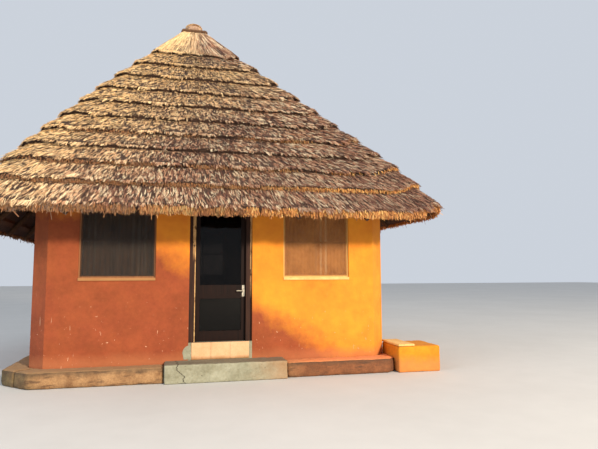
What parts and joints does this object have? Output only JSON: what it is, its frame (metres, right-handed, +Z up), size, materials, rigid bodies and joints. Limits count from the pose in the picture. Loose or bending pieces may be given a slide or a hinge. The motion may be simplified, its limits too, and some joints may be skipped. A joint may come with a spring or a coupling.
{
  "type": "square thatched rondavel hut",
  "caption": "One-room thatched hut with plastered walls, cut corners, a glazed door that opens, windows, a plinth and an entry step.",
  "frame": {"origin": "middle of the walls' square plan, at ground level", "axes": "+Z up, -Y out through the door, +X to the right of someone facing the door"},
  "size_m": [6.152, 6.152, 5.85],
  "materials": {
    "wall_plaster": "rough limewashed plaster",
    "cement": "weathered cement",
    "painted_plinth": "worn painted cement",
    "cream_cement": "smooth painted cement",
    "tile": "glazed",
    "thatch": "dry grass thatch",
    "pole": "rough round timber",
    "varnished_timber": "dark varnish",
    "cream_timber": "old paint",
    "glass": "clear",
    "curtain": "woven cotton",
    "steel": "worn",
    "painted_bar": "old brown paint"
  },
  "bodies": {
    "hut": {"back_wall": "wall_plaster", "corner_walls": "wall_plaster", "curtain_front_left": "curtain", "curtain_front_right": "curtain", "curtain_rods": "steel", "door_frame": "varnished_timber", "entry_step": "cement", "floor_slab": "cement", "frame_hinges": "steel", "front_wall_left": "wall_plaster", "front_wall_right": "wall_plaster", "hip_rafters": "pole", "left_wall": "wall_plaster", "peak_binding": "thatch", "peak_hub": "pole", "peak_knob": "thatch", "plinth_back": "painted_plinth", "plinth_front_left": "painted_plinth", "plinth_front_right": "painted_plinth", "plinth_left": "painted_plinth", "plinth_right": "painted_plinth", "rafters_back": "pole", "rafters_front": "pole", "rafters_left": "pole", "rafters_right": "pole", "right_wall": "wall_plaster", "riser_tiles": "tile", "roof_battens": "pole", "side_block": "painted_plinth", "side_block_coping": "cream_cement", "thatch_cap": "thatch", "thatch_course_01": "thatch", "thatch_course_02": "thatch", "thatch_course_03": "thatch", "thatch_course_04": "thatch", "thatch_course_05": "thatch", "thatch_course_06": "thatch", "thatch_course_07": "thatch", "thatch_course_08": "thatch", "thatch_course_09": "thatch", "thatch_course_10": "thatch", "threshold": "cement", "wall_over_door": "wall_plaster", "wall_plate": "pole", "window_bars": "painted_bar", "window_frame_back": "cream_timber", "window_frame_front_left": "cream_timber", "window_frame_front_right": "cream_timber", "window_frame_left": "cream_timber", "window_frame_right": "cream_timber", "window_glass": "glass", "window_sills": "cream_cement"},
    "door": {"door_glass": "glass", "door_handle": "steel", "door_leaf": "varnished_timber", "leaf_hinges": "steel"}
  },
  "joints": [
    {"name": "door_hinge", "type": "hinge", "parent": "hut", "child": "door", "pos_m": [-0.3675, -2.202, 0.67], "axis": [0, 0, 1], "range_deg": [0, 95]}
  ]
}
